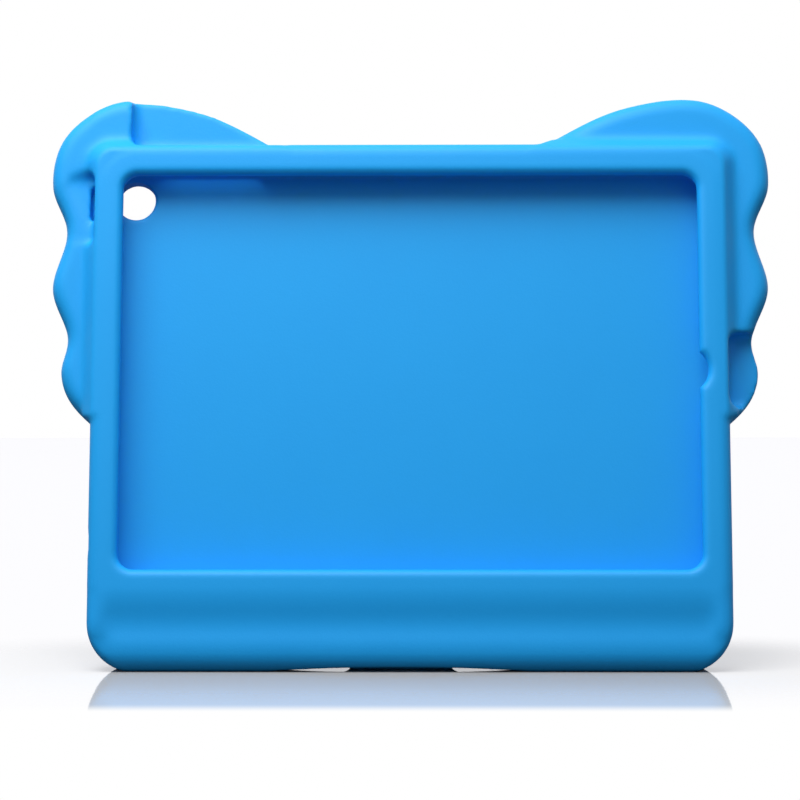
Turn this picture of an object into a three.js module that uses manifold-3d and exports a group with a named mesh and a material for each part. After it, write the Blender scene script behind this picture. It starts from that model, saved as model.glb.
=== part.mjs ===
// Kids tablet case: one piece of moulded EVA foam that wraps a 7.9 inch tablet lying on its side.
//
// A window frames the screen and a pocket behind it grips the tablet. Butterfly wings stick out
// past the frame as handles, scooped away in front of the buttons and ports, and they cross the
// back in relief. The insect's body thickens downwards into the leg that the case leans on.
//
// Millimetres. The case is drawn flat: x to the right, y up the screen, z out of the screen towards
// the child, with the middle of the screen glass at the origin. Side profiles are drawn as
// (depth behind the glass, height) and run across the case. The finished piece is leaned back and
// stood on its underside, +Z up, with the origin under the middle of its bounding box.

import * as THREE from "three";
import { mergeVertices } from "three/addons/utils/BufferGeometryUtils.js";
import Module from "manifold-3d";

// What the case is made for.
const tablet = { width: 200, height: 134.7, thickness: 7.5, corner: 10 };
const homeButtonFromEnd = 9.7;
const sideKey = { fromEnd: 10.5, length: 12 };
const volumeKeys = { fromEnd: 15, length: 35 };
const chargingPort = { length: 21.5 };
const headphoneJack = { fromEdge: 10.8, diameter: 9 };
const cameraFromEdges = 8.2;
const tabletClearance = 0.3;

// Foam round the tablet.
const sideWall = 4.5;
const topWall = 8.6;
const backWall = 7.2;
const chinHeight = 31;
const lip = { thickness: 4, overEnds: 5.1, overEdges: 1.9, round: 3 };
const windowCorner = 5;
const homeRelief = 7.5;
const upperCorner = 14;
const lowerCorner = 16;
const sideRound = 4;
const topRound = 3.8;

// The chin under the screen: a long shallow valley over a rounded bar that meets the table.
const valley = { fromPocket: 2.9, deepest: 16.8, depth: 2.1, fromSides: 4 };
const bar = { fromPocket: 22.1, behindFace: 1.6 };
const underRound = 8;
const arch = { width: 86, height: 1.5, middle: -3.4 };

// Butterfly wings: how far each lobe and each notch between lobes reaches past the frame's side,
// and its height on the case. The knots between them keep the outline full.
const wing = {
  front: 1,
  proudOfBack: 3,
  round: 6.5,
  rise: 15.8,
  riseAt: 98.8,
  rootAt: 44,
  upper: { reach: 14.8, height: 63.5 },
  upperNotch: { reach: 9.6, height: 47.7 },
  middle: { reach: 14, height: 28.1 },
  lowerNotch: { reach: 8.6, height: 11.7 },
  lower: { reach: 10.6, height: -0.6 },
  end: { reach: 6.1, height: -11.4 },
  hem: -42,
};
const shoulder = { atSides: 3, atTop: 2.2, inset: 4, rise: 4.8, corner: 8 };
const scoopFloor = 8;
const scoopRound = 3;
const keyScoop = { reach: 9.5, above: 4.9, below: 2.2, rim: 1.8, round: 4 };
const slotWidth = 6;

// Drop-shaped hollows in the back of each wing: middle, size and turn in degrees.
const spots = [
  { x: 56, y: 46, length: 46, width: 25, turn: 30 },
  { x: 54, y: 0, length: 40, width: 21, turn: -18 },
];
const spotDepth = 1.5;

// Rear leg, which is the body of the butterfly. It starts behind the chin's rounded foot.
const leg = { width: 33, middle: -2.8, front: 9, round: 8, top: 62, ridge: 8, heel: 29.5 };
const recline = THREE.MathUtils.degToRad(9);

const foamColour = 0x2f9df4;
const arcSteps = 6;
const roundSteps = 4;
const far = 300;

// Sizes that follow from the ones above.
const pocket = {
  halfWidth: tablet.width / 2 + tabletClearance,
  halfHeight: tablet.height / 2 + tabletClearance,
  depth: tablet.thickness + tabletClearance,
};
const halfWidth = pocket.halfWidth + sideWall;
const top = pocket.halfHeight + topWall;
const bottom = -pocket.halfHeight - chinHeight;
const back = pocket.depth + backWall;
const opening = {
  halfWidth: tablet.width / 2 - lip.overEnds,
  halfHeight: tablet.height / 2 - lip.overEdges,
};
const midTablet = -tablet.thickness / 2;

const wasm = await Module();
wasm.setup();

/** A closed geometry as a solid that can be joined and cut. */
function solid(geometry) {
  const bare = geometry.clone().deleteAttribute("normal").deleteAttribute("uv");
  const merged = mergeVertices(bare, 1e-4);
  const mesh = new wasm.Mesh({
    numProp: 3,
    vertProperties: merged.attributes.position.array,
    triVerts: new Uint32Array(merged.index.array),
  });
  return new wasm.Manifold(mesh);
}

/** A block between two corners. */
function block(low, high) {
  const size = high.map((value, i) => value - low[i]);
  const middle = high.map((value, i) => (value + low[i]) / 2);
  return solid(new THREE.BoxGeometry(...size).translate(...middle));
}

/** An outline in the screen's plane, given thickness from one depth to another. */
function plate(outline, from, to, round = 0) {
  const geometry = new THREE.ExtrudeGeometry(outline, {
    depth: to - from - 2 * round,
    curveSegments: arcSteps,
    bevelEnabled: round > 0,
    bevelThickness: round,
    bevelSize: round,
    bevelOffset: -round,
    bevelSegments: roundSteps,
  });
  return solid(geometry.translate(0, 0, from + round));
}

/** A side profile, drawn as (depth behind the glass, height), run across the case. */
function run(profile, from, to, round = 0) {
  const geometry = new THREE.ExtrudeGeometry(profile, {
    depth: to - from - 2 * round,
    curveSegments: arcSteps,
    bevelEnabled: round > 0,
    bevelThickness: round,
    bevelSize: round,
    bevelOffset: -round,
    bevelSegments: roundSteps,
  });
  return solid(geometry.translate(0, 0, from + round).rotateY(Math.PI / 2));
}

/** A rectangle with its own corner radius at the top and at the bottom. */
function roundedRectangle(left, right, low, high, lowRadius, highRadius = lowRadius) {
  const shape = new THREE.Shape();
  shape.absarc(left + lowRadius, low + lowRadius, lowRadius, Math.PI, 1.5 * Math.PI);
  shape.absarc(right - lowRadius, low + lowRadius, lowRadius, 1.5 * Math.PI, 2 * Math.PI);
  shape.absarc(right - highRadius, high - highRadius, highRadius, 0, 0.5 * Math.PI);
  shape.absarc(left + highRadius, high - highRadius, highRadius, 0.5 * Math.PI, Math.PI);
  shape.closePath();
  return shape;
}

/** Heights and depths that the chin's curves pass through. */
const chin = {
  face: -lip.thickness,
  valleyTop: -pocket.halfHeight - valley.fromPocket,
  valleyFloor: -pocket.halfHeight - valley.deepest,
  barFace: -lip.thickness + bar.behindFace,
  barMiddle: -pocket.halfHeight - bar.fromPocket,
};

/** The shell's side profile: frame, rounded bar at the foot and a straight back. */
function shellProfile() {
  const { face, barFace, barMiddle, valleyTop } = chin;
  const turn = (valleyTop + barMiddle) / 2;
  const profile = new THREE.Shape();
  profile.moveTo(face, top - topRound);
  profile.lineTo(face, turn);
  profile.bezierCurveTo(
    face, (turn + barMiddle) / 2,
    barFace, barMiddle + underRound / 3,
    barFace, barMiddle,
  );
  profile.bezierCurveTo(
    barFace, (barMiddle + 2 * bottom) / 3,
    barFace + underRound / 3, bottom,
    barFace + underRound, bottom,
  );
  profile.lineTo(back, bottom);
  profile.lineTo(back, top - sideRound);
  profile.absarc(back - sideRound, top - sideRound, sideRound, 0, Math.PI / 2);
  profile.lineTo(face + topRound, top);
  profile.absarc(face + topRound, top - topRound, topRound, Math.PI / 2, Math.PI);
  return profile;
}

/** The valley's hollow: a long soft dip down from the frame, then a short rise onto the bar. */
function valleyHollow() {
  const { face, barFace, barMiddle, valleyTop, valleyFloor } = chin;
  const clear = face - 2 * valley.fromSides;
  const deepest = face + valley.depth;
  const profile = new THREE.Shape();
  profile.moveTo(clear, valleyTop);
  profile.lineTo(face - 0.05, valleyTop);
  profile.bezierCurveTo(
    face, (valleyTop + valleyFloor) / 2,
    deepest, (valleyTop + 2 * valleyFloor) / 3,
    deepest, valleyFloor,
  );
  profile.bezierCurveTo(
    deepest, (valleyFloor + barMiddle) / 2,
    barFace, (valleyFloor + 2 * barMiddle) / 3,
    barFace - 0.05, barMiddle,
  );
  profile.lineTo(clear, barMiddle);
  return run(profile, valley.fromSides - halfWidth, halfWidth - valley.fromSides, 2);
}

/** Frame, chin and back wall as one block, before anything is cut out of it. */
function shell() {
  const outline = roundedRectangle(
    -halfWidth, halfWidth, bottom, top, lowerCorner, upperCorner,
  );
  const front = lip.thickness;
  const block = run(shellProfile(), -halfWidth - 1, halfWidth + 1);
  return block.intersect(plate(outline, -back, front, sideRound)).subtract(valleyHollow());
}

/** Outline of the whole butterfly, wing tips outside the frame and wing roots on the back. */
function butterflyOutline() {
  const at = ({ reach, height }) => [halfWidth + reach, height];
  const crown = top + wing.rise;
  const { upper, end } = wing;
  const rightWing = [
    [leg.width / 3, leg.top - 6],
    [wing.rootAt, top + 0.4],
    [(wing.rootAt + wing.riseAt) / 2, top + 0.86 * wing.rise],
    [wing.riseAt, crown],
    [halfWidth + 0.74 * upper.reach, top + 0.24 * wing.rise],
    at(upper),
    at(wing.upperNotch),
    at(wing.middle),
    at(wing.lowerNotch),
    at(wing.lower),
    at(end),
    [0.78 * halfWidth, (end.height + 2 * wing.hem) / 3],
    [halfWidth / 2, wing.hem],
    [leg.width / 2, wing.hem + 9],
  ];
  const leftWing = rightWing.map(([x, y]) => [-x, y]).reverse();
  const knots = [...rightWing, ...leftWing].map(([x, y]) => new THREE.Vector3(x, y, 0));
  const curve = new THREE.CatmullRomCurve3(knots, true, "centripetal");
  const points = curve.getPoints(knots.length * arcSteps).slice(0, -1);
  return new THREE.Shape(points.reverse().map(({ x, y }) => new THREE.Vector2(x, y)));
}

/** The wings, with the sloping shoulder that ties them to the frame. */
function wings() {
  const outline = butterflyOutline();
  const plateBack = -back - wing.proudOfBack;
  const frameOutline = roundedRectangle(
    -halfWidth - shoulder.atSides, halfWidth + shoulder.atSides,
    bottom, top + shoulder.atTop,
    lowerCorner, shoulder.corner,
  );
  const slope = new THREE.ExtrudeGeometry(frameOutline, {
    depth: wing.round,
    curveSegments: arcSteps,
    bevelThickness: shoulder.rise,
    bevelSize: shoulder.inset,
    bevelOffset: -shoulder.inset,
    bevelSegments: 1,
  });
  const ramp = solid(slope.translate(0, 0, -wing.front - wing.round));
  const reach = plate(outline, -back, lip.thickness);
  return plate(outline, plateBack, -wing.front, wing.round).add(ramp.intersect(reach));
}

/** Drop-shaped hollows in the backs of both wings, each with its point towards the body. */
function wingSpots() {
  const backFace = -back - wing.proudOfBack;
  const hollows = spots.flatMap(({ x, y, length, width, turn }) => {
    const half = length / 2;
    const drop = new THREE.Shape();
    drop.moveTo(-half, 0);
    drop.bezierCurveTo(-half / 2, -width / 2, half, -0.75 * width, half, 0);
    drop.bezierCurveTo(half, 0.75 * width, -half / 2, width / 2, -half, 0);
    const cutter = plate(drop, backFace - 1, backFace + spotDepth);
    const right = cutter.rotate([0, 0, turn]).translate([x, y, 0]);
    return [right, right.mirror([1, 0, 0])];
  });
  return hollows.reduce((all, hollow) => all.add(hollow));
}

/** The insect's body: a rounded ridge down the back that widens into the rear leg. */
function rearLeg() {
  const foot = bottom - leg.round - 4;
  const profile = new THREE.Shape();
  profile.moveTo(-2 * leg.round, leg.top);
  profile.lineTo(back - leg.ridge, leg.top);
  profile.bezierCurveTo(
    back, leg.top,
    back + leg.ridge, leg.top - leg.ridge,
    back + leg.ridge, leg.top - 3 * leg.ridge,
  );
  profile.bezierCurveTo(
    back + leg.ridge, -0.5 * top,
    back + leg.heel, -0.6 * top,
    back + leg.heel, bottom + leg.ridge,
  );
  profile.lineTo(back + leg.heel, foot);
  profile.lineTo(-2 * leg.round, foot);
  const behindChin = block([-far, -far, -far], [far, far, -leg.front]);
  const [left, right] = [leg.middle - leg.width / 2, leg.middle + leg.width / 2];
  return run(profile, left, right, leg.round).intersect(behindChin);
}

/** Everything below the table top, which leans against the case by the recline. */
function belowTable() {
  const low = block([-far, -far, -far], [far, 0, far]);
  return low.rotate([THREE.MathUtils.radToDeg(recline), 0, 0]).translate([0, bottom, 0]);
}

/** A shallow arch under the middle of the chin, so that it stands on its two ends. */
function underArch() {
  const half = arch.width / 2;
  const shape = new THREE.Shape();
  shape.moveTo(-half, -5);
  shape.lineTo(half, -5);
  shape.lineTo(half, 0);
  shape.bezierCurveTo(half / 2, 1.33 * arch.height, -half / 2, 1.33 * arch.height, -half, 0);
  const tunnel = plate(shape, -2 * back, 2 * back);
  return tunnel.rotate([THREE.MathUtils.radToDeg(recline), 0, 0]).translate([arch.middle, bottom, 0]);
}

/** The tablet's own space, with the window in front of it and its rounded lip. */
function tabletSpace() {
  const bed = roundedRectangle(
    -pocket.halfWidth, pocket.halfWidth, -pocket.halfHeight, pocket.halfHeight, tablet.corner,
  );
  const buttonAt = tablet.width / 2 - homeButtonFromEnd;
  const swing = Math.acos((opening.halfWidth - buttonAt) / homeRelief);
  const view = new THREE.Shape();
  const { halfWidth: w, halfHeight: h } = opening;
  view.absarc(windowCorner - w, windowCorner - h, windowCorner, Math.PI, 1.5 * Math.PI);
  view.absarc(w - windowCorner, windowCorner - h, windowCorner, 1.5 * Math.PI, 2 * Math.PI);
  view.absarc(buttonAt, 0, homeRelief, -swing, swing);
  view.absarc(w - windowCorner, h - windowCorner, windowCorner, 0, 0.5 * Math.PI);
  view.absarc(windowCorner - w, h - windowCorner, windowCorner, 0.5 * Math.PI, Math.PI);
  view.closePath();
  const straight = lip.thickness - lip.round + pocket.depth / 2;
  const flare = new THREE.ExtrudeGeometry(view, {
    depth: straight,
    curveSegments: arcSteps,
    bevelThickness: lip.round,
    bevelSize: -lip.round,
    bevelOffset: lip.round,
    bevelSegments: roundSteps,
  });
  const mouth = solid(flare.translate(0, 0, lip.thickness - lip.round - straight));
  const past = lip.thickness + 1e-3;
  const inFront = block([-far, -far, -pocket.depth / 2], [far, far, past]);
  const clear = plate(
    roundedRectangle(-w, w, -h, h, windowCorner), lip.thickness - 1, lip.thickness + 4,
  );
  return plate(bed, -pocket.depth, 0).add(mouth.intersect(inFront)).add(clear);
}

/** A hole with round ends through a side wall, its long way up the case. */
function sideSlot(from, to, middle, length) {
  const outline = roundedRectangle(
    -midTablet - slotWidth / 2, -midTablet + slotWidth / 2,
    middle - length / 2, middle + length / 2, slotWidth / 2 - 0.01,
  );
  return run(outline, from, to);
}

/** Openings for the keys, the ports and the rear camera. */
function portHoles() {
  const left = -halfWidth - wing.upper.reach - 1;
  const keyAt = tablet.height / 2 - sideKey.fromEnd;
  const jackAt = headphoneJack.fromEdge - tablet.height / 2;
  const volumeAt = volumeKeys.fromEnd + volumeKeys.length / 2 - tablet.width / 2;
  const key = sideSlot(left, -opening.halfWidth, keyAt, sideKey.length);
  const port = sideSlot(opening.halfWidth, -left, 0.8, chargingPort.length);
  const volume = sideSlot(opening.halfHeight, top + wing.rise + 1, 0, volumeKeys.length)
    .rotate([0, 0, 90])
    .translate([volumeAt, 0, 0]);
  const bore = new THREE.CylinderGeometry(
    headphoneJack.diameter / 2, headphoneJack.diameter / 2, sideWall + 6, 4 * arcSteps,
  );
  const jack = bore.rotateZ(Math.PI / 2).translate(1 - halfWidth, jackAt, midTablet);
  const funnel = new THREE.CylinderGeometry(
    headphoneJack.diameter / 2, headphoneJack.diameter / 2 + 1.5, 1.5, 4 * arcSteps,
  );
  const dish = funnel.rotateZ(-Math.PI / 2).translate(-halfWidth + 0.6, jackAt, midTablet);
  return key.add(port).add(volume).add(solid(jack)).add(solid(dish)).add(cameraHole());
}

/** The camera's hole in the back wall, opened out towards the back. */
function cameraHole() {
  const radius = 6.5;
  const flareHeight = 3;
  const through = backWall + wing.proudOfBack + 2;
  const x = cameraFromEdges - tablet.width / 2;
  const y = tablet.height / 2 - cameraFromEdges;
  const bore = new THREE.CylinderGeometry(radius, radius, through + 2, 6 * arcSteps);
  const mouth = new THREE.CylinderGeometry(radius, radius + flareHeight, flareHeight, 6 * arcSteps);
  const outside = -back - wing.proudOfBack;
  return solid(bore.rotateX(Math.PI / 2).translate(x, y, outside + through / 2)).add(
    solid(mouth.rotateX(Math.PI / 2).translate(x, y, outside + flareHeight / 2 - 0.2)),
  );
}

/** The side key's scoop: deep beside the frame, and rising to a low rim near the wing's edge. */
function keyBowl() {
  const inner = halfWidth - 0.4;
  const outer = halfWidth + keyScoop.reach;
  const front = lip.thickness + 2 * keyScoop.round;
  const keyAt = tablet.height / 2 - sideKey.fromEnd;
  const low = keyAt - sideKey.length / 2 - keyScoop.below;
  const high = keyAt + sideKey.length / 2 + keyScoop.above;
  const profile = new THREE.Shape();
  profile.moveTo(-inner, -front);
  profile.lineTo(-inner, scoopFloor);
  profile.lineTo(-outer, keyScoop.rim);
  profile.lineTo(-outer, -front);
  const geometry = new THREE.ExtrudeGeometry(profile, {
    depth: high - low - 2 * keyScoop.round,
    bevelThickness: keyScoop.round,
    bevelSize: keyScoop.round,
    bevelOffset: -keyScoop.round,
    bevelSegments: roundSteps,
  });
  return solid(geometry.translate(0, 0, low + keyScoop.round).rotateX(-Math.PI / 2));
}

/** Scoops that clear the wings away in front of the keys and the charging port. */
function scoops() {
  const outer = halfWidth + wing.upper.reach + 5;
  const inner = halfWidth - 0.4;
  const portHalf = chargingPort.length / 2 + 1.2;
  const volumeLeft = volumeKeys.fromEnd - tablet.width / 2 - 8;
  const corner = scoopRound + 0.5;
  const port = roundedRectangle(inner, outer, -portHalf, portHalf + 1, corner);
  const volume = roundedRectangle(
    volumeLeft, -wing.rootAt + 6, top - 0.3, top + wing.rise + 5, corner,
  );
  const front = lip.thickness + 2 * scoopRound;
  return keyBowl()
    .add(plate(port, -scoopFloor, front, scoopRound))
    .add(plate(volume, -scoopFloor, front, scoopRound));
}

/** The whole case, drawn flat. */
function foamBody() {
  return shell()
    .subtract(underArch())
    .add(wings().subtract(wingSpots()))
    .add(rearLeg())
    .subtract(scoops())
    .subtract(tabletSpace())
    .subtract(portHoles())
    .subtract(belowTable());
}

/** A joined and cut solid as a three.js geometry. */
function geometryOf(body) {
  const { vertProperties, triVerts } = body.getMesh();
  const geometry = new THREE.BufferGeometry();
  geometry.setAttribute("position", new THREE.BufferAttribute(vertProperties, 3));
  geometry.setIndex(new THREE.BufferAttribute(triVerts, 1));
  geometry.computeVertexNormals();
  return geometry;
}

const foam = new THREE.MeshStandardMaterial({ color: foamColour, roughness: 0.62, metalness: 0 });
const foamCase = new THREE.Mesh(geometryOf(foamBody()), foam);
foamCase.name = "foam_case";
foamCase.rotation.x = Math.PI / 2 - recline;
foamCase.updateMatrixWorld(true);
const extent = new THREE.Box3().setFromObject(foamCase, true);
const middle = extent.getCenter(new THREE.Vector3());
foamCase.position.set(-middle.x, -middle.y, -extent.min.z);

const kidsTabletCase = new THREE.Group();
kidsTabletCase.name = "kids_tablet_case";
kidsTabletCase.add(foamCase);

export default kidsTabletCase;
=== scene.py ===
import logging
import math
from dataclasses import dataclass, field
from enum import Enum
from typing import Callable, Sequence

import bmesh
import bpy
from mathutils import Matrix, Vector


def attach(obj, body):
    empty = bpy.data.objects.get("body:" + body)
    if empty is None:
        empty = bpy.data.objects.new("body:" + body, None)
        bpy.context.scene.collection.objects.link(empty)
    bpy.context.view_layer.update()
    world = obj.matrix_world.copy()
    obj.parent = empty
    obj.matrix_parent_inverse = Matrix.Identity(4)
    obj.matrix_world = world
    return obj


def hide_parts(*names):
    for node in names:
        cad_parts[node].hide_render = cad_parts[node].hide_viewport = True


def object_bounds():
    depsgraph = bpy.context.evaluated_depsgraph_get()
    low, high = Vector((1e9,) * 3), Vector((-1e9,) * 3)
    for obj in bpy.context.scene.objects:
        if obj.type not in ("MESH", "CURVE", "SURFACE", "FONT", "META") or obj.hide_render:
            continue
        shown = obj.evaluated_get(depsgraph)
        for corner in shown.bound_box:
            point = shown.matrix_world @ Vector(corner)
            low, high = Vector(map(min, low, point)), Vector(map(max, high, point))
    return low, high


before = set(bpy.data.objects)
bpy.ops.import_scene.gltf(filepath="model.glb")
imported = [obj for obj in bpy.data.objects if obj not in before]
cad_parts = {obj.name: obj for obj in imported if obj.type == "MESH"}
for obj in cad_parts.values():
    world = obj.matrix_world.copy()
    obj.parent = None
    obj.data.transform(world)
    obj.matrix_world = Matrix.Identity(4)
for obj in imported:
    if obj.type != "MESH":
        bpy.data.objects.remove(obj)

CAD_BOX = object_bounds()
MM = 0.001
WHITE = (1.0, 1.0, 1.0, 1.0)
LOG = logging.getLogger("kids_tablet_case")

# Lengths in millimetres: what counts as touching, small gaps that keep faces apart, and how far
# cutting forms reach into, past and ahead of what they cut.
TOUCH = 1e-4
SEAM = 0.02
HAIR = 0.05
OVERLAP = 0.4
PAST = 1.0
AHEAD = 8.0
FAR = 200.0

Point = tuple[float, float]
Triple = tuple[float, float, float]


class Joinery(Enum):
    """How one foam form is worked against another."""

    MERGE = "UNION"
    CUT = "DIFFERENCE"
    COMMON = "INTERSECT"


# Drawing


def arc(centre: Point, radius: float, start: float, end: float, steps: int) -> list[Point]:
    """Points along an arc, with both ends.

    Args:
        centre: Middle of the arc.
        radius: Its radius.
        start: Angle of the first point, in degrees.
        end: Angle of the last point, in degrees.
        steps: Number of straight pieces.

    Returns:
        The points, first to last.
    """
    turns = [math.radians(start + (end - start) * i / steps) for i in range(steps + 1)]
    return [(centre[0] + radius * math.cos(a), centre[1] + radius * math.sin(a)) for a in turns]


def bezier(start: Point, out: Point, back: Point, end: Point, steps: int = 14) -> list[Point]:
    """Points along a cubic curve, without its first point.

    Args:
        start: First point.
        out: Handle of the first point.
        back: Handle of the last point.
        end: Last point.
        steps: Number of straight pieces.

    Returns:
        The points after the first one.
    """
    points = []
    for i in range(1, steps + 1):
        t = i / steps
        weights = ((1 - t) ** 3, 3 * t * (1 - t) ** 2, 3 * t * t * (1 - t), t ** 3)
        pairs = list(zip(weights, (start, out, back, end)))
        points.append((sum(w * p[0] for w, p in pairs), sum(w * p[1] for w, p in pairs)))
    return points


def rounded_rectangle(
    left: float, right: float, low: float, high: float,
    low_radius: float, high_radius: float | None = None, steps: int = 12,
) -> list[Point]:
    """Outline of a rectangle with its own corner radius at the bottom and at the top.

    Args:
        left: Left side.
        right: Right side.
        low: Bottom side.
        high: Top side.
        low_radius: Radius of the two bottom corners.
        high_radius: Radius of the two top corners, or None for the same.
        steps: Straight pieces in each corner.

    Returns:
        The outline, counter-clockwise from the lower left corner.
    """
    top_radius = low_radius if high_radius is None else high_radius
    return (
        arc((left + low_radius, low + low_radius), low_radius, 180, 270, steps)
        + arc((right - low_radius, low + low_radius), low_radius, 270, 360, steps)
        + arc((right - top_radius, high - top_radius), top_radius, 0, 90, steps)
        + arc((left + top_radius, high - top_radius), top_radius, 90, 180, steps)
    )


def closed_spline(knots: Sequence[Point], per_span: int) -> list[Point]:
    """Closed centripetal spline through some knots.

    Args:
        knots: Points that the curve passes through.
        per_span: Points drawn from one knot to the next.

    Returns:
        The curve's points.
    """
    points = []
    count = len(knots)
    for i in range(count):
        before, here, there, after = (Vector(knots[(i + k) % count]) for k in (-1, 0, 1, 2))
        spans = ((before, here), (here, there), (there, after))
        first, span, last = (max((b - a).length ** 0.5, TOUCH) for a, b in spans)
        leave = (here - before) / first - (there - before) / (first + span) + (there - here) / span
        reach = (there - here) / span - (after - here) / (span + last) + (after - there) / last
        for k in range(per_span):
            t = k / per_span
            spot = (
                (2 * t ** 3 - 3 * t ** 2 + 1) * here
                + (t ** 3 - 2 * t ** 2 + t) * leave * span
                + (3 * t ** 2 - 2 * t ** 3) * there
                + (t ** 3 - t ** 2) * reach * span
            )
            points.append((spot.x, spot.y))
    return points


def smooth_step(low: float, high: float, value: float) -> float:
    """0 below low, 1 above high, and an even rise between them."""
    t = min(max((value - low) / (high - low), 0.0), 1.0)
    return t * t * (3 - 2 * t)


# Working foam


class Foam:
    """A closed form in millimetres, worked by hand: drawn, pulled, rounded, cut and softened."""

    def __init__(self, name: str, ring: Sequence[Vector]) -> None:
        """Starts a form as a flat face.

        Args:
            name: Name of the form.
            ring: Corners of the face, in order.
        """
        self.at_rest()
        bpy.ops.mesh.primitive_circle_add(vertices=len(ring), radius=1.0, fill_type="NGON")
        self.thing = bpy.context.object
        self.thing.name = name
        bpy.ops.object.mode_set(mode="EDIT")
        sheet = bmesh.from_edit_mesh(self.thing.data)
        order = sheet.verts.layers.int.new("order")
        sheet.verts.ensure_lookup_table()
        for i, spot in enumerate(ring):
            sheet.verts[i][order] = i
            sheet.verts[i].co = spot
        bmesh.update_edit_mesh(self.thing.data)
        bpy.ops.object.mode_set(mode="OBJECT")

    @staticmethod
    def at_rest() -> None:
        """Leaves edit mode and lets go of everything."""
        if bpy.context.object and bpy.context.object.mode != "OBJECT":
            bpy.ops.object.mode_set(mode="OBJECT")
        bpy.ops.object.select_all(action="DESELECT")

    def take(self) -> None:
        """Makes this form the only one in hand."""
        self.at_rest()
        self.thing.select_set(True)
        bpy.context.view_layer.objects.active = self.thing

    def pull(self, *rings: Sequence[Vector]) -> "Foam":
        """Pulls the last face out to one ring after another and closes the form.

        Args:
            rings: Corners of each next face, in the order of the first face.

        Returns:
            The form itself.
        """
        self.take()
        bpy.ops.object.mode_set(mode="EDIT")
        bpy.ops.mesh.select_all(action="SELECT")
        for ring in rings:
            bpy.ops.mesh.extrude_region_move()
            sheet = bmesh.from_edit_mesh(self.thing.data)
            order = sheet.verts.layers.int["order"]
            for corner in sheet.verts:
                if corner.select:
                    corner.co = ring[corner[order]]
            bmesh.update_edit_mesh(self.thing.data)
        bpy.ops.mesh.select_all(action="SELECT")
        bpy.ops.mesh.normals_make_consistent(inside=False)
        bpy.ops.object.mode_set(mode="OBJECT")
        return self

    def round_rims(self, radius: float, segments: int, on_rim: Callable[[Vector], bool]) -> "Foam":
        """Rounds the edges that lie on a rim.

        Args:
            radius: Radius of the rounding.
            segments: Faces across it.
            on_rim: Tells whether a corner lies on the rim.

        Returns:
            The form itself.
        """
        self.take()
        bpy.ops.object.mode_set(mode="EDIT")
        bpy.ops.mesh.select_all(action="DESELECT")
        sheet = bmesh.from_edit_mesh(self.thing.data)
        for edge in sheet.edges:
            if all(on_rim(corner.co) for corner in edge.verts):
                edge.select_set(True)
        bmesh.update_edit_mesh(self.thing.data)
        bpy.ops.mesh.bevel(
            offset=radius, offset_type="OFFSET", segments=segments, profile=0.5,
            affect="EDGES", clamp_overlap=False,
        )
        bpy.ops.mesh.select_all(action="SELECT")
        bpy.ops.mesh.normals_make_consistent(inside=False)
        bpy.ops.object.mode_set(mode="OBJECT")
        return self

    def work(self, other: "Foam", joinery: Joinery) -> "Foam":
        """Merges with, cuts by or keeps what is common with another form, which is used up.

        Args:
            other: The other form.
            joinery: What is done with it.

        Returns:
            The form itself.
        """
        self.take()
        bpy.ops.object.modifier_add(type="BOOLEAN")
        step = self.thing.modifiers[-1]
        step.operation = joinery.value
        step.solver = "MANIFOLD"
        step.object = other.thing
        bpy.ops.object.modifier_apply(modifier=step.name)
        bpy.data.objects.remove(other.thing, do_unlink=True)
        return self

    def turn(self, degrees: float, axis: str) -> "Foam":
        """Turns the form about an axis through the origin.

        Args:
            degrees: Angle of the turn.
            axis: X, Y or Z.

        Returns:
            The form itself.
        """
        self.take()
        setattr(self.thing.rotation_euler, axis.lower(), math.radians(degrees))
        bpy.ops.object.transform_apply(location=False, rotation=True, scale=False)
        return self

    def shift(self, x: float, y: float, z: float) -> "Foam":
        """Moves the form.

        Args:
            x: Way to the right.
            y: Way up the case.
            z: Way to the front.

        Returns:
            The form itself.
        """
        self.take()
        self.thing.location = (x, y, z)
        bpy.ops.object.transform_apply(location=True, rotation=False, scale=False)
        return self

    def skin(self, grain: float) -> "Foam":
        """Gives the form one even skin of small faces.

        Args:
            grain: Size of a face.

        Returns:
            The form itself.
        """
        self.take()
        bpy.ops.object.modifier_add(type="REMESH")
        step = self.thing.modifiers[-1]
        step.mode = "VOXEL"
        step.voxel_size = grain
        step.use_smooth_shade = True
        bpy.ops.object.modifier_apply(modifier=step.name)
        return self

    def soften(self, turns: int, where: Callable[[Vector], float] | None = None) -> "Foam":
        """Softens edges and inner corners.

        Args:
            turns: Rounds of smoothing.
            where: How strongly each place softens, from 0 to 1, or None for evenly.

        Returns:
            The form itself.
        """
        self.take()
        group = None
        if where is not None:
            group = self.thing.vertex_groups.new(name="soft")
            for corner in self.thing.data.vertices:
                strength = where(corner.co)
                if strength > 0:
                    group.add([corner.index], strength, "REPLACE")
        bpy.ops.object.modifier_add(type="SMOOTH")
        step = self.thing.modifiers[-1]
        step.factor = 0.5
        step.iterations = turns
        if group is not None:
            step.vertex_group = group.name
        bpy.ops.object.modifier_apply(modifier=step.name)
        self.thing.vertex_groups.clear()
        return self

    def thin_out(self, triangles: int) -> "Foam":
        """Takes faces out where the skin is flat.

        Args:
            triangles: How many triangles may stay.

        Returns:
            The form itself.
        """
        self.take()
        now = sum(len(face.vertices) - 2 for face in self.thing.data.polygons)
        bpy.ops.object.modifier_add(type="DECIMATE")
        step = self.thing.modifiers[-1]
        step.ratio = min(1.0, triangles / now)
        bpy.ops.object.modifier_apply(modifier=step.name)
        return self


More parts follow.
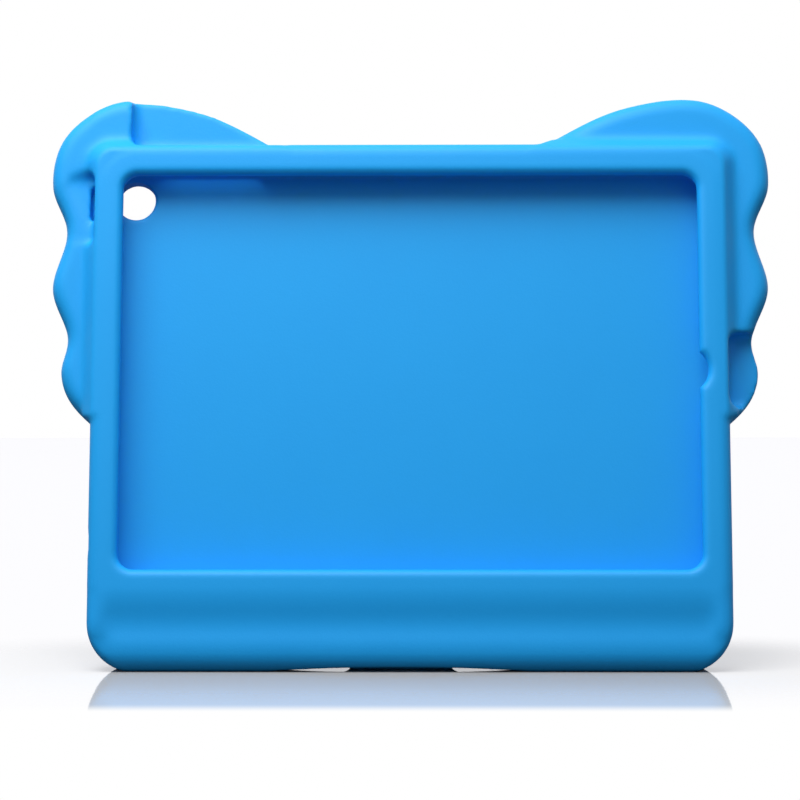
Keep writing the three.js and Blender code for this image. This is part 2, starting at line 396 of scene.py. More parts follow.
def slab(
    name: str, outline: Sequence[Point], low: float, high: float,
    round_low: float = 0.0, round_high: float = 0.0, segments: int = 8,
) -> Foam:
    """An outline in the screen's plane with thickness and rounded rims.

    Args:
        name: Name of the form.
        outline: The outline, as x and y.
        low: Depth of its back.
        high: Depth of its front.
        round_low: Rounding of the back rim.
        round_high: Rounding of the front rim.
        segments: Faces across each rounding.

    Returns:
        The form.
    """
    form = Foam(name, [Vector((x, y, low)) for x, y in outline])
    form.pull([Vector((x, y, high)) for x, y in outline])
    if round_low:
        form.round_rims(round_low, segments, lambda spot: abs(spot.z - low) < TOUCH)
    if round_high:
        form.round_rims(round_high, segments, lambda spot: abs(spot.z - high) < TOUCH)
    return form


def block(name: str, low: float, high: float, back: float, front: float) -> Foam:
    """A plain block wider than the case.

    Args:
        name: Name of the form.
        low: Height of its foot.
        high: Height of its top.
        back: Depth of its back.
        front: Depth of its front.

    Returns:
        The form.
    """
    outline = rounded_rectangle(-FAR, FAR, low, high, low_radius=1.0)
    return slab(name, outline, back, front)


def run_across(
    name: str, profile: Sequence[Point], left: float, right: float, rounding: float = 0.0,
    segments: int = 8,
) -> Foam:
    """A side profile, as depth behind the glass and height, run across the case.

    Args:
        name: Name of the form.
        profile: The profile.
        left: Where it starts.
        right: Where it ends.
        rounding: Rounding of both ends.
        segments: Faces across each rounding.

    Returns:
        The form.
    """
    form = Foam(name, [Vector((left, y, -depth)) for depth, y in profile])
    form.pull([Vector((right, y, -depth)) for depth, y in profile])
    if rounding:
        ends = (left, right)
        form.round_rims(
            rounding, segments, lambda spot: min(abs(spot.x - end) for end in ends) < TOUCH,
        )
    return form


def bore(name: str, rings: Sequence[tuple[Vector, float]], along: str, sides: int = 48) -> Foam:
    """A round hole's form through circles of given middles and radii.

    Args:
        name: Name of the form.
        rings: Middle and radius of each circle.
        along: Axis of the hole, X or Z.
        sides: Corners of each circle.

    Returns:
        The form.
    """
    def circle(middle: Vector, radius: float) -> list[Vector]:
        """Corners of one circle.

        Args:
            middle: Its middle.
            radius: Its radius.

        Returns:
            The corners, in order.
        """
        spots = arc((0, 0), radius, 0, 360 - 360 / sides, sides - 1)
        if along == "X":
            return [middle + Vector((0, a, b)) for a, b in spots]
        return [middle + Vector((a, b, 0)) for a, b in spots]

    circles = [circle(middle, radius) for middle, radius in rings]
    return Foam(name, circles[0]).pull(*circles[1:])


# The case


@dataclass(frozen=True)
class Tablet:
    """The tablet that the case is made for, in millimetres."""

    width: float = 200.0
    height: float = 134.7
    thickness: float = 7.5
    corner: float = 10.0
    home_button_from_end: float = 9.7
    key_from_end: float = 10.5
    key_length: float = 12.0
    volume_from_end: float = 15.0
    volume_length: float = 35.0
    port_length: float = 21.5
    port_above_middle: float = 0.8
    jack_from_edge: float = 10.8
    camera_from_edges: float = 8.2
    clearance: float = 0.3


@dataclass(frozen=True)
class Wing:
    """Butterfly wings: how far each lobe and notch passes the frame's side, and its height.

    The shares place the points between the lobes, and each spot is x, y, length, width and turn.
    """

    front: float = 1.0
    proud_of_back: float = 3.0
    rounding: float = 6.5
    front_rounding: float = 4.5
    rise: float = 15.8
    rise_at: float = 98.8
    root_at: float = 44.0
    root_above_frame: float = 0.4
    crest_share: float = 0.86
    tip_share: Point = (0.74, 0.24)
    upper: Point = (14.8, 63.5)
    upper_notch: Point = (9.6, 47.7)
    middle: Point = (14.0, 28.1)
    lower_notch: Point = (8.6, 11.7)
    lower: Point = (10.6, -0.6)
    end: Point = (6.1, -11.4)
    hem: float = -42.0
    hem_share: float = 0.78
    hem_rise_at_leg: float = 9.0
    below_body: float = 6.0
    spots: tuple[tuple[float, ...], ...] = ((56, 46, 46, 25, 30), (54, 0, 40, 21, -18))
    spot_depth: float = 1.5


@dataclass(frozen=True)
class Leg:
    """Rear leg, which is the body of the butterfly. The pulls are its curve's handles."""

    width: float = 33.0
    middle: float = -2.8
    front: float = 9.0
    rounding: float = 8.0
    top: float = 62.0
    ridge: float = 8.0
    heel: float = 29.5
    heel_pulls: Point = (0.5, 0.6)
    below_table: float = 4.0


@dataclass(frozen=True)
class Melt:
    """Where the foam flows: each range runs from firm to soft, from the place that it names."""

    behind: Point = (-0.5, 2.5)
    in_front: Point = (-1.0, 1.0)
    below_pocket: Point = (-6.0, -3.0)
    beside_frame: Point = (-2.5, -0.8)
    key_height: Point = (42.0, 46.0)
    wing_depth: Point = (-11.0, -9.0)
    above_frame: Point = (0.5, 2.5)
    beside_root: Point = (-4.0, 4.0)
    thin_part: Point = (3.0, 7.0)
    back_share: float = 0.9
    chin_share: float = 0.95
    bowl_share: float = 0.85
    top_share: float = 0.5


@dataclass
class FoamCase:
    """The whole case in one piece: frame, chin, wings, leg, and everything cut out of them."""

    tablet: Tablet = field(default_factory=Tablet)
    wing: Wing = field(default_factory=Wing)
    leg: Leg = field(default_factory=Leg)
    melting: Melt = field(default_factory=Melt)
    recline: float = 9.0
    side_wall: float = 4.5
    top_wall: float = 8.6
    back_wall: float = 7.2
    chin_height: float = 31.0
    lip: float = 4.0
    lip_over_ends: float = 5.1
    lip_over_edges: float = 1.9
    lip_round: float = 2.6
    window_corner: float = 5.0
    home_relief: float = 7.5
    upper_corner: float = 14.0
    lower_corner: float = 16.0
    side_round: float = 4.0
    top_round: float = 3.8
    valley_from_pocket: float = 2.9
    valley_deepest_from_pocket: float = 16.8
    valley_depth: float = 1.7
    valley_from_sides: float = 3.0
    valley_end: float = 6.0
    bar_from_pocket: float = 22.1
    bar_behind_face: float = 1.3
    under_round: float = 8.0
    arch_width: float = 86.0
    arch_height: float = 1.5
    arch_middle: float = -3.4
    arch_pull: float = 1.33
    arch_below: float = 5.0
    shoulder_at_sides: float = 3.0
    shoulder_at_top: float = 2.2
    shoulder_inset: float = 4.0
    shoulder_rise: float = 4.8
    shoulder_corner: float = 8.0
    shoulder_depth: float = 6.0
    shoulder_below_wing: float = 4.0
    scoop_floor: float = 8.0
    scoop_round: float = 3.0
    scoop_past_wing: float = 5.0
    port_scoop_ends: Point = (1.2, 2.2)
    volume_scoop_end: float = 8.0
    volume_scoop_past_root: float = 6.0
    volume_scoop_sunk: float = 0.3
    key_bowl_reach: float = 9.5
    key_bowl_above: float = 4.9
    key_bowl_below: float = 8.0
    key_bowl_depth: float = 5.0
    key_bowl_rim: float = 1.4
    key_bowl_round: float = 4.0
    key_bowl_fade: float = 0.3
    key_pit: float = 1.5
    slot_width: float = 6.0
    camera_radius: float = 6.5
    camera_flare: float = 3.0
    camera_past: float = 2.0
    jack_diameter: float = 9.0
    jack_flare: float = 3.0
    jack_reaches: tuple[float, ...] = (-4.6, 1.4, 6.6)
    first_grain: float = 1.0
    melt_turns: int = 14
    last_grain: float = 0.75
    last_turns: int = 2
    triangles: int = 192_000

    def __post_init__(self) -> None:
        """Works out the sizes that follow from the others."""
        self.pocket_half_width = self.tablet.width / 2 + self.tablet.clearance
        self.pocket_half_height = self.tablet.height / 2 + self.tablet.clearance
        self.pocket_depth = self.tablet.thickness + self.tablet.clearance
        self.half_width = self.pocket_half_width + self.side_wall
        self.top = self.pocket_half_height + self.top_wall
        self.bottom = -self.pocket_half_height - self.chin_height
        self.back = self.pocket_depth + self.back_wall
        self.window_half_width = self.tablet.width / 2 - self.lip_over_ends
        self.window_half_height = self.tablet.height / 2 - self.lip_over_edges
        self.mid_tablet = -self.tablet.thickness / 2

    def shell_profile(self) -> list[Point]:
        """Side profile of the frame, the rounded bar at its foot and the straight back.

        Returns:
            The profile, as depth behind the glass and height.
        """
        face, bar_face = -self.lip, -self.lip + self.bar_behind_face
        bar_middle = -self.pocket_half_height - self.bar_from_pocket
        turn = (-self.pocket_half_height - self.valley_from_pocket + bar_middle) / 2
        under = (bar_face + self.under_round, self.bottom)
        profile = [(face, self.top - self.top_round), (face, turn)]
        profile += bezier(
            profile[-1], (face, (turn + bar_middle) / 2),
            (bar_face, bar_middle + self.under_round / 3), (bar_face, bar_middle),
        )
        profile += bezier(
            profile[-1], (bar_face, (bar_middle + 2 * self.bottom) / 3),
            (bar_face + self.under_round / 3, self.bottom), under,
        )
        profile += [(self.back, under[1])]
        rounds = (
            (self.back - self.side_round, self.side_round, 0),
            (face + self.top_round, self.top_round, 90),
        )
        for depth, radius, start in rounds:
            profile += arc((depth, self.top - radius), radius, start, start + 90, 8)
        return profile[:-1]

    def shell(self) -> Foam:
        """Frame, chin and back wall as one block, with the valley across the chin.

        Returns:
            The form.
        """
        outline = rounded_rectangle(
            -self.half_width, self.half_width, self.bottom, self.top,
            self.lower_corner, self.upper_corner, steps=16,
        )
        body = slab("shell", outline, -self.back, self.lip, self.side_round, self.side_round)
        reach = self.half_width + PAST
        body.work(run_across("profile", self.shell_profile(), -reach, reach), Joinery.COMMON)
        return body.work(self.valley(), Joinery.CUT).work(self.arch(), Joinery.CUT)

    def valley(self) -> Foam:
        """Hollow across the chin: a long soft dip from the frame, then a short rise to the bar.

        Returns:
            The form that is cut out.
        """
        face, bar_face = -self.lip, -self.lip + self.bar_behind_face
        top = -self.pocket_half_height - self.valley_from_pocket
        floor = -self.pocket_half_height - self.valley_deepest_from_pocket
        bar_middle = -self.pocket_half_height - self.bar_from_pocket
        clear, deepest = face - AHEAD, face + self.valley_depth
        curve = [(face, top)]
        curve += bezier(
            curve[-1], (face, (top + floor) / 2),
            (deepest, (top + 2 * floor) / 3), (deepest, floor),
        )
        curve += bezier(
            curve[-1], (deepest, (floor + bar_middle) / 2),
            (bar_face, (floor + 2 * bar_middle) / 3), (bar_face, bar_middle),
        )

        def ring(x: float, share: float) -> list[Vector]:
            """Outline of the hollow at one place across the case.

            Args:
                x: The place.
                share: Share of the full depth that it has there.

            Returns:
                The outline's corners.
            """
            inner = [
                Vector((x, y, HAIR - face - (depth - face) * share)) for depth, y in curve
            ]
            return [Vector((x, top, -clear)), *inner, Vector((x, bar_middle, -clear))]

        side, steps = self.half_width - self.valley_from_sides, 6
        ease = [(self.valley_end * i / steps, smooth_step(0, steps, i)) for i in range(steps + 1)]
        rings = [ring(x - side, share) for x, share in ease]
        rings += [ring(side - x, share) for x, share in reversed(ease)]
        return Foam("valley", rings[0]).pull(*rings[1:])

    def arch(self) -> Foam:
        """Shallow arch under the middle of the chin.

        Returns:
            The form that is cut out.
        """
        half, foot = self.arch_width / 2, -self.arch_below
        lift = self.arch_pull * self.arch_height
        outline = [(-half, foot), (half, foot), (half, 0.0)]
        outline += bezier((half, 0.0), (half / 2, lift), (-half / 2, lift), (-half, 0.0), steps=20)
        tunnel = slab("arch", outline, -2 * self.back, 2 * self.back)
        return tunnel.turn(self.recline, "X").shift(self.arch_middle, self.bottom, 0)

    def butterfly(self) -> list[Point]:
        """Outline of the whole butterfly, wing tips outside the frame and roots on the back.

        Returns:
            The outline, counter-clockwise.
        """
        wing, side = self.wing, self.half_width
        right = [
            (self.leg.width / 3, self.leg.top - wing.below_body),
            (wing.root_at, self.top + wing.root_above_frame),
            ((wing.root_at + wing.rise_at) / 2, self.top + wing.crest_share * wing.rise),
            (wing.rise_at, self.top + wing.rise),
            (side + wing.tip_share[0] * wing.upper[0], self.top + wing.tip_share[1] * wing.rise),
            *((side + reach, y) for reach, y in (
                wing.upper, wing.upper_notch, wing.middle, wing.lower_notch, wing.lower, wing.end,
            )),
            (wing.hem_share * side, (wing.end[1] + 2 * wing.hem) / 3),
            (side / 2, wing.hem),
            (self.leg.width / 2, wing.hem + wing.hem_rise_at_leg),
        ]
        left = [(-x, y) for x, y in reversed(right)]
        return closed_spline(right + left, per_span=12)[::-1]

    def wings(self) -> Foam:
        """Both wings with their drop-shaped hollows.

        Returns:
            The form.
        """
        wing = self.wing
        back_face = -self.back - wing.proud_of_back
        form = slab(
            "wings", self.butterfly(), back_face, -wing.front,
            wing.rounding, wing.front_rounding, segments=10,
        )
        for x, y, length, width, turn in wing.spots:
            half, waist, belly = length / 2, width / 2, 0.75 * width
            drop = bezier((-half, 0), (-half / 2, -waist), (half, -belly), (half, 0))
            drop += bezier((half, 0), (half, belly), (-half / 2, waist), (-half, 0))
            angle = math.radians(turn)
            for side in (1, -1):
                placed = [
                    (side * (x + a * math.cos(angle) - b * math.sin(angle)),
                     y + a * math.sin(angle) + b * math.cos(angle))
                    for a, b in drop
                ]
                spot = slab("spot", placed, back_face - PAST, back_face + wing.spot_depth)
                form.work(spot, Joinery.CUT)
        return form

    def shoulder(self) -> Foam:
        """Sloping shoulder from the frame down to the wings, kept inside the butterfly.

        Returns:
            The form.
        """
        inset, start = self.shoulder_inset, -self.wing.front

        def ring(inwards: float, z: float) -> list[Vector]:
            """Outline of the shoulder.

            Args:
                inwards: How far it is moved inwards.
                z: Its depth.

            Returns:
                The outline's corners.
            """
            side = self.half_width + self.shoulder_at_sides - inwards
            high = self.top + self.shoulder_at_top - inwards
            corner = self.shoulder_corner - inwards / 2
            flat = rounded_rectangle(
                -side, side, self.bottom + inwards, high, self.lower_corner, corner,
            )
            return [Vector((x, y, z)) for x, y in flat]

        ramp = Foam("shoulder", ring(0.0, start - self.shoulder_depth))
        ramp.pull(ring(0.0, start), ring(inset, start + self.shoulder_rise))
        within = slab("within", self.butterfly(), -self.back, self.lip)
        foot = self.wing.end[1] - self.shoulder_below_wing
        above_chin = block("above_chin", foot, FAR, -self.back, self.lip + AHEAD)
        return ramp.work(within, Joinery.COMMON).work(above_chin, Joinery.COMMON)

    def rear_leg(self) -> Foam:
        """The butterfly's body: a rounded ridge down the back that reaches out into the leg.

        Returns:
            The form.
        """
        leg, back = self.leg, self.back
        foot = self.bottom - leg.rounding - leg.below_table
        ridge = back + leg.ridge
        profile = [(-2 * leg.rounding, leg.top), (back - leg.ridge, leg.top)]
        profile += bezier(
            profile[-1], (back, leg.top),
            (ridge, leg.top - leg.ridge), (ridge, leg.top - 3 * leg.ridge),
        )
        heel = (back + leg.heel, self.bottom + leg.ridge)
        out, reach = (-pull * self.top for pull in leg.heel_pulls)
        profile += bezier(profile[-1], (ridge, out), (heel[0], reach), heel)
        profile += [(heel[0], foot), (-2 * leg.rounding, foot)]
        left, right = leg.middle - leg.width / 2, leg.middle + leg.width / 2
        form = run_across("leg", profile, left, right, leg.rounding, segments=10)
        return form.work(block("behind_chin", -FAR, FAR, -FAR, -leg.front), Joinery.COMMON)

    def below_table(self) -> Foam:
        """Everything under the table top, which leans against the case by the recline."""
        deep = block("below_table", -FAR, 0, -FAR, FAR)
        return deep.turn(self.recline, "X").shift(0, self.bottom, 0)

    def tablet_space(self) -> list[Foam]:
        """The tablet's own space, and the window in front of it with its rounded lip.

        Returns:
            The forms that are cut out.
        """
        bed = rounded_rectangle(
            -self.pocket_half_width, self.pocket_half_width,
            -self.pocket_half_height, self.pocket_half_height, self.tablet.corner,
        )
        steps, lip_round = 8, self.lip_round
        rings = [self.window(0.0, -self.pocket_depth / 2)]
        for turn in (math.pi / 2 * i / steps for i in range(steps + 1)):
            out = lip_round * (1 - math.cos(turn))
            rings.append(self.window(out, self.lip - lip_round + lip_round * math.sin(turn)))
        rings.append(self.window(lip_round, self.lip + AHEAD))
        return [slab("bed", bed, -self.pocket_depth, 0), Foam("window", rings[0]).pull(*rings[1:])]

    def window(self, out: float, z: float) -> list[Vector]:
        """The window's outline, with its relief for the home button.

        Args:
            out: How far the outline is moved outwards.
            z: Its depth.

        Returns:
            The outline's corners.
        """
        w, h = self.window_half_width + out, self.window_half_height + out
        corner, relief = self.window_corner + out, self.home_relief + out
        button = self.tablet.width / 2 - self.tablet.home_button_from_end
        swing = math.degrees(math.acos((w - button) / relief))
        flat = (
            arc((corner - w, corner - h), corner, 180, 270, 12)
            + arc((w - corner, corner - h), corner, 270, 360, 12)
            + arc((button, 0), relief, -swing, swing, 16)
            + arc((w - corner, h - corner), corner, 0, 90, 12)
            + arc((corner - w, h - corner), corner, 90, 180, 12)
        )
        return [Vector((x, y, z)) for x, y in flat]

    def side_slot(self, name: str, start: float, end: float, middle: float, length: float) -> Foam:
        """A hole with round ends through a side wall, its long way up the case.

        Args:
            name: Name of the slot.
            start: Where it starts, along x.
            end: Where it ends.
            middle: Height of its middle.
            length: Its length.

        Returns:
            The slot's form.
        """
        half = self.slot_width / 2
        outline = rounded_rectangle(
            -self.mid_tablet - half, -self.mid_tablet + half,
            middle - length / 2, middle + length / 2, half - SEAM,
        )
        return run_across(name, outline, start, end)

    def ports(self) -> list[Foam]:
        """Openings for the keys, the ports and the rear camera.

        Returns:
            The forms that are cut out.
        """
        tablet, side = self.tablet, self.half_width
        outer = side + self.wing.upper[0] + PAST
        key_at = tablet.height / 2 - tablet.key_from_end
        volume_at = tablet.volume_from_end + tablet.volume_length / 2 - tablet.width / 2
        jack_at = tablet.jack_from_edge - tablet.height / 2
        radius = self.jack_diameter / 2
        radii = (radius + self.jack_flare, radius, radius)
        volume = self.side_slot(
            "volume_keys", self.window_half_height, self.top + self.wing.rise + PAST,
            0, tablet.volume_length,
        )
        x = tablet.camera_from_edges - tablet.width / 2
        y = tablet.height / 2 - tablet.camera_from_edges
        outside, past = -self.back - self.wing.proud_of_back, self.camera_past
        return [
            self.fingertip_pit(),
            self.side_slot(
                "power_key", -side - PAST / 2, -self.window_half_width, key_at, tablet.key_length,
            ),
            self.side_slot(
                "charging_port", self.window_half_width, outer,
                tablet.port_above_middle, tablet.port_length,
            ),
            volume.turn(90, "Z").shift(volume_at, 0, 0),
            bore("headphone_jack", [
                (Vector((reach - side, jack_at, self.mid_tablet)), wide)
                for reach, wide in zip(self.jack_reaches, radii)
            ], "X"),
            bore("rear_camera", [
                (Vector((x, y, outside - past)), self.camera_radius + self.camera_flare + past),
                (Vector((x, y, outside + self.camera_flare)), self.camera_radius),
                (Vector((x, y, -self.pocket_depth + past)), self.camera_radius),
            ], "Z"),
        ]

    def key_bowl(self) -> Foam:
        """The side key's scoop: a shallow bowl that rises towards the wing's edge.

        Returns:
            The form that is cut out.
        """
        tablet = self.tablet
        inner, outer = OVERLAP - self.half_width, -self.half_width - self.key_bowl_reach
        key_at = tablet.height / 2 - tablet.key_from_end
        low = key_at - tablet.key_length / 2 - self.key_bowl_below
        high = key_at + tablet.key_length / 2 + self.key_bowl_above
        front = self.lip + AHEAD
        shallow, deep = -self.wing.front - self.key_bowl_fade, -self.key_bowl_depth

        def section(y: float, inner_z: float, outer_z: float) -> list[Vector]:
            """Outline of the bowl across the wing.

            Args:
                y: Its height.
                inner_z: Depth of its floor beside the frame.
                outer_z: Depth of its floor at the wing's edge.

            Returns:
                The outline's corners.
            """
            return [Vector(spot) for spot in (
                (inner, y, front), (inner, y, inner_z), (outer, y, outer_z), (outer, y, front),
            )]

        form = Foam("key_bowl", section(low, shallow, shallow))
        form.pull(section(high, deep, -self.key_bowl_rim))
        return form.round_rims(self.key_bowl_round, 8, lambda spot: abs(spot.y - high) < TOUCH)

    def fingertip_pit(self) -> Foam:
        """The deeper pit beside the frame, where a fingertip reaches the side key.

        Returns:
            The form that is cut out.
        """
        tablet = self.tablet
        key_at = tablet.height / 2 - tablet.key_from_end
        half = tablet.key_length / 2
        beside = rounded_rectangle(
            -self.half_width - self.key_pit, OVERLAP - self.half_width,
            key_at - half, key_at + half, self.key_pit / 2,
        )
        floor = self.mid_tablet - self.slot_width / 2
        return slab("fingertip_pit", beside, floor, self.lip + AHEAD)

    def scoops(self) -> list[Foam]:
        """Scoops that clear the wings away in front of the keys and the charging port.

        Returns:
            The forms that are cut out.
        """
        tablet, past = self.tablet, self.scoop_past_wing
        port_half = tablet.port_length / 2
        below, above = self.port_scoop_ends
        outlines = {
            "port_scoop": (
                self.half_width - OVERLAP, self.half_width + self.wing.upper[0] + past,
                -port_half - below, port_half + above,
            ),
            "volume_scoop": (
                tablet.volume_from_end - tablet.width / 2 - self.volume_scoop_end,
                self.volume_scoop_past_root - self.wing.root_at,
                self.top - self.volume_scoop_sunk, self.top + self.wing.rise + past,
            ),
        }
        front, rounding = self.lip + AHEAD, self.scoop_round
        return [self.key_bowl()] + [
            slab(
                name, rounded_rectangle(*sides, rounding + 0.5),
                -self.scoop_floor, front, rounding,
            )
            for name, sides in outlines.items()
        ]

    def build(self) -> bpy.types.Object:
        """Builds the case and stands it where its solid stands.

        Returns:
            The finished piece.
        """
        body = self.shell()
        for form in (self.shoulder(), self.wings(), self.rear_leg()):
            body.work(form, Joinery.MERGE)
        for form in self.scoops():
            body.work(form, Joinery.CUT)
        body.skin(self.first_grain)
        body.soften(self.melt_turns, self.melt)
        for form in [*self.tablet_space(), *self.ports(), self.below_table()]:
            body.work(form, Joinery.CUT)
        body.skin(self.last_grain)
        body.soften(self.last_turns)
        body.thin_out(self.triangles)
        return self.stand(body)

    def melt(self, spot: Vector) -> float:
        """How softly the foam flows at a spot: most on the back, in the valley and in the bowl.

        Args:
            spot: The spot, on the case as it is drawn flat.

        Returns:
            0 for firm to 1 for soft.
        """
        soft, x, y, z = self.melting, *spot
        behind = 1 - smooth_step(*soft.behind, z + self.back)
        chin = 1 - smooth_step(*soft.below_pocket, y + self.pocket_half_height)
        valley = chin * smooth_step(*soft.in_front, z)
        in_wing = smooth_step(*soft.wing_depth, z)
        beside = 1 - smooth_step(*soft.beside_frame, x + self.half_width)
        bowl = beside * smooth_step(*soft.key_height, y) * in_wing
        thin = 1 - smooth_step(*soft.beside_root, x + self.wing.root_at)
        thin *= smooth_step(*soft.thin_part, y - self.top)
        above = smooth_step(*soft.above_frame, y - self.top) * in_wing * (1 - thin)
        return max(
            soft.back_share * behind, soft.chin_share * valley,
            soft.bowl_share * bowl, soft.top_share * above,
        )

    def stand(self, body: Foam) -> bpy.types.Object:
        """Leans the flat form back and puts it where its solid stands.

        Args:
            body: The case, drawn flat.

        Returns:
            The finished piece.
        """
        tilt = math.radians(90 - self.recline)
        flat = self.shell_profile()
        front = min(y * math.cos(tilt) + depth * math.sin(tilt) for depth, y in flat)
        body.take()
        body.thing.rotation_euler.x = tilt
        body.thing.scale = (MM, MM, MM)
        body.thing.location = (0, CAD_BOX[0][1] - front * MM, -self.bottom * math.sin(tilt) * MM)
        bpy.ops.object.transform_apply(location=True, rotation=True, scale=True)
        bpy.ops.object.shade_smooth()
        body.thing.name = "moulded_foam_case"
        body.thing.data.name = "moulded_foam_case"
        return body.thing


# Finishes


class Wire:
    """A shader socket that takes part in ordinary sums."""

    def __init__(self, tree: bpy.types.NodeTree, socket: bpy.types.NodeSocket) -> None:
        """Wraps a socket of a node tree."""
        self.tree = tree
        self.socket = socket

    def node(
        self, kind: str, settings: dict | None = None, inputs: dict | None = None,
        out: int | str = 0,
    ) -> "Wire":
        """Adds a node and returns one of its outputs.

        Args:
            kind: Type of the node.
            settings: Properties that are set first.
            inputs: Value or wire for each input, by name or number.
            out: Output to return.

        Returns:
            The output, wrapped.
        """
        made = self.tree.nodes.new(kind)
        for key, value in (settings or {}).items():
            setattr(made, key, value)
        for key, value in (inputs or {}).items():
            if isinstance(value, Wire):
                self.tree.links.new(value.socket, made.inputs[key])
            else:
                made.inputs[key].default_value = value
        return Wire(self.tree, made.outputs[out])

    def maths(self, operation: str, *values: "Wire | float") -> "Wire":
        """One Math node on this wire and some values."""
        numbered = dict(enumerate((self, *values)))
        return self.node("ShaderNodeMath", {"operation": operation}, numbered)

    def __add__(self, other: "Wire | float") -> "Wire":
        """Sum."""
        return self.maths("ADD", other)

    __radd__ = __add__

    def __sub__(self, other: "Wire | float") -> "Wire":
        """Difference."""
        return self.maths("SUBTRACT", other)

    def __rsub__(self, other: float) -> "Wire":
        """Difference from a number."""
        return self.maths("MULTIPLY", -1.0).maths("ADD", other)

    def __mul__(self, other: "Wire | float") -> "Wire":
        """Product."""
        return self.maths("MULTIPLY", other)

    __rmul__ = __mul__

    def tint(self, dark: Sequence[float], light: Sequence[float]) -> "Wire":
        """Colour between two colours, by this wire.

        Args:
            dark: Colour at 0.
            light: Colour at 1.

        Returns:
            The colour.
        """
        return self.node(
            "ShaderNodeMix", {"data_type": "RGBA", "clamp_factor": True},
            {0: self, 6: (*dark, 1.0), 7: (*light, 1.0)}, 2,
        )


def linear(red: int, green: int, blue: int) -> tuple[float, float, float]:
    """Linear colour from 8-bit screen values.

    Args:
        red: Red, from 0 to 255.
        green: Green.
        blue: Blue.

    Returns:
        The three linear channels.
    """
    def channel(value: int) -> float:
        """One channel."""
        share = value / 255
        return share / 12.92 if share <= 0.04045 else ((share + 0.055) / 1.055) ** 2.4

    return (channel(red), channel(green), channel(blue))


@dataclass(frozen=True)
class EvaFoam:
    """Closed-cell foam, matt from the mould, with a fine pebbled skin."""

    name: str = "eva_foam_blue"
    base: Triple = linear(20, 165, 242)
    shade: Triple = linear(16, 159, 238)
    cloud_share: float = 0.7
    roughness: float = 0.52
    fine_wear: float = 0.12
    cloud_wear: float = 0.08
    grain: float = 0.0007
    cloud: float = 0.03
    pebble_height: float = 0.00004
    pebble_strength: float = 0.5
    cell_share: float = 0.7
    fine_share: float = 0.6
    index: float = 1.38

    def make(self) -> bpy.types.Material:
        """Builds the material.

        Returns:
            The material, reading Object coordinates.
        """
        material = bpy.data.materials.new(self.name)
        material.use_nodes = True
        tree = material.node_tree
        tree.nodes.clear()
        start = Wire(tree, tree.nodes.new("ShaderNodeTexCoord").outputs["Object"])
        cloud = start.node(
            "ShaderNodeTexNoise", {"noise_dimensions": "3D"},
            {"Vector": start, "Scale": 1 / self.cloud, "Detail": 3.0, "Roughness": 0.55},
        )
        fine = start.node(
            "ShaderNodeTexNoise", {"noise_dimensions": "3D"},
            {"Vector": start, "Scale": 1 / (3 * self.grain), "Detail": 4.0, "Roughness": 0.6},
        )
        cells = start.node(
            "ShaderNodeTexVoronoi", {"feature": "SMOOTH_F1"},
            {"Vector": start, "Scale": 1 / self.grain, "Smoothness": 0.7},
        )
        blend = cloud * self.cloud_share + fine * (1 - self.cloud_share)
        wear = (fine - 0.5) * self.fine_wear + (cloud - 0.5) * self.cloud_wear
        pebbles = (1 - cells) * self.cell_share + fine * self.fine_share
        bump = start.node("ShaderNodeBump", None, {
            "Strength": self.pebble_strength, "Distance": self.pebble_height, "Height": pebbles,
        })
        shader = start.node("ShaderNodeBsdfPrincipled", None, {
            "Base Color": blend.tint(self.shade, self.base), "Roughness": self.roughness + wear,
            "Normal": bump, "IOR": self.index,
        })
        output = tree.nodes.new("ShaderNodeOutputMaterial")
        tree.links.new(shader.socket, output.inputs["Surface"])
        return material


# Studio


@dataclass(frozen=True)
class Lamp:
    """One soft lamp: its name, place and aim in metres, its panel's sides, its power in watts."""

    name: str
    place: Triple
    aim: Triple
    size: Point
    power: float

    def hang(self) -> None:
        """Hangs the lamp."""
        Foam.at_rest()
        bpy.ops.object.light_add(type="AREA", location=self.place)
        lamp = bpy.context.object
        lamp.name = self.name
        lamp.data.shape = "RECTANGLE"
        lamp.data.size, lamp.data.size_y = self.size
        lamp.data.energy = self.power
        way = Vector(self.aim) - Vector(self.place)
        lamp.rotation_euler = way.to_track_quat("-Z", "Y").to_euler()


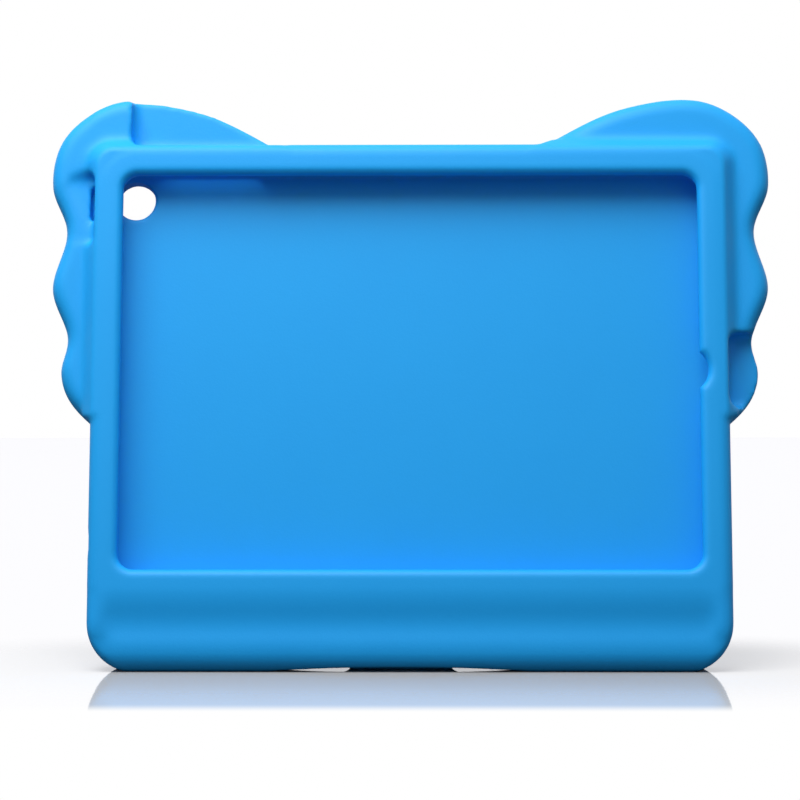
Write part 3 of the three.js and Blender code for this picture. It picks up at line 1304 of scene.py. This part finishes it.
@dataclass(frozen=True)
class Studio:
    """Pale glossy table, soft light from above, and the camera at the photograph's angle.

    The footprint is half the case's width and depth on the table. Past it the table turns white
    over the fade's range. The polish starts at the front over a range of its own.
    """

    camera_at: Triple = (0.00743, -0.86235, 0.09161)
    camera_turn: Triple = (89.749, 0.049, 0.7103)
    lens: float = 117.2
    sensor: float = 36.0
    nearest: float = 0.01
    table_size: float = 8.0
    footprint: Point = (0.1, 0.03)
    fade: Point = (0.012, 0.085)
    polish_from: Point = (-0.126, -0.106)
    table_seen: float = 0.75
    table_bounce: float = 0.12
    gloss_tint: Triple = (0.97, 0.97, 1.0)
    gloss_roughness: float = 0.05
    gloss_index: float = 1.5
    ambient: float = 0.33
    lamps: tuple[Lamp, ...] = (
        Lamp("overhead_panel", (0.0, -0.1, 1.15), (0.0, 0.0, 0.1), (1.2, 0.7), 3.2),
        Lamp("near_panel", (-0.18, -0.32, 0.63), (-0.02, 0.0, 0.1), (0.6, 0.4), 4.7),
    )

    def table(self) -> None:
        """Lays the table."""
        Foam.at_rest()
        bpy.ops.mesh.primitive_plane_add(size=self.table_size, location=(0, 0, 0))
        top = bpy.context.object
        top.name = "table_top"
        material = bpy.data.materials.new("glossy_white_table")
        material.use_nodes = True
        tree = material.node_tree
        tree.nodes.clear()
        start = Wire(tree, tree.nodes.new("ShaderNodeTexCoord").outputs["Object"])
        path = tree.nodes.new("ShaderNodeLightPath")
        seen = Wire(tree, path.outputs["Is Camera Ray"])
        place = [start.node("ShaderNodeSeparateXYZ", None, {0: start}, axis) for axis in ("X", "Y")]
        past = [
            place[axis].maths("ABSOLUTE").maths("SUBTRACT", half).maths("MAXIMUM", 0.0)
            for axis, half in enumerate(self.footprint)
        ]
        away = (past[0] * past[0] + past[1] * past[1]).maths("SQRT")
        open_floor, polished = (
            value.node(
                "ShaderNodeMapRange", {"interpolation_type": "SMOOTHSTEP"},
                {"Value": value, "From Min": start_at, "From Max": end_at},
            )
            for value, (start_at, end_at) in ((away, self.fade), (place[1], self.polish_from))
        )
        pale = seen * (self.table_seen - self.table_bounce) + self.table_bounce
        shaded = start.node("ShaderNodeBsdfDiffuse", None, {
            "Color": start.node("ShaderNodeCombineColor", None, {0: pale, 1: pale, 2: pale}),
        })
        backdrop = start.node("ShaderNodeEmission", None, {"Color": WHITE})
        white = start.node(
            "ShaderNodeMixShader", None, {0: open_floor * seen, 1: shaded, 2: backdrop},
        )
        gloss = start.node("ShaderNodeBsdfAnisotropic", None, {
            "Color": (*self.gloss_tint, 1.0), "Roughness": self.gloss_roughness,
        })
        fresnel = start.node("ShaderNodeFresnel", None, {"IOR": self.gloss_index})
        mirror = fresnel * polished * seen
        both = start.node("ShaderNodeMixShader", None, {0: mirror, 1: white, 2: gloss})
        output = tree.nodes.new("ShaderNodeOutputMaterial")
        tree.links.new(both.socket, output.inputs["Surface"])
        top.data.materials.append(material)

    def world(self) -> None:
        """White surroundings for the eye, calmer light on the case."""
        world = bpy.data.worlds.new("studio")
        bpy.context.scene.world = world
        world.use_nodes = True
        tree = world.node_tree
        tree.nodes.clear()
        path = tree.nodes.new("ShaderNodeLightPath")
        seen, mirrored, through = (
            Wire(tree, path.outputs[f"Is {kind} Ray"])
            for kind in ("Camera", "Glossy", "Transmission")
        )
        clear = seen.maths("MAXIMUM", mirrored).maths("MAXIMUM", through)
        strength = clear * (1 - self.ambient) + self.ambient
        sky = seen.node("ShaderNodeBackground", None, {"Color": WHITE, "Strength": strength})
        output = tree.nodes.new("ShaderNodeOutputWorld")
        tree.links.new(sky.socket, output.inputs["Surface"])

    def camera(self) -> None:
        """Sets up the camera."""
        Foam.at_rest()
        turn = tuple(math.radians(angle) for angle in self.camera_turn)
        bpy.ops.object.camera_add(location=self.camera_at, rotation=turn)
        eye = bpy.context.object
        eye.data.lens = self.lens
        eye.data.sensor_width = self.sensor
        eye.data.sensor_fit = "AUTO"
        eye.data.clip_start = self.nearest
        bpy.context.scene.camera = eye

    def build(self) -> None:
        """Sets up the whole studio."""
        self.camera()
        self.table()
        self.world()
        for lamp in self.lamps:
            lamp.hang()
        bpy.context.scene.view_settings.view_transform = "Standard"


def main() -> None:
    """Builds the studio and the case."""
    logging.basicConfig(level=logging.INFO, format="%(name)s: %(message)s")
    Studio().build()
    piece = FoamCase().build()
    piece.data.materials.clear()
    piece.data.materials.append(EvaFoam().make())
    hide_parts("foam_case")
    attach(piece, "root")
    LOG.info("%s: %d faces", piece.name, len(piece.data.polygons))


if __name__ == "__main__":
    main()
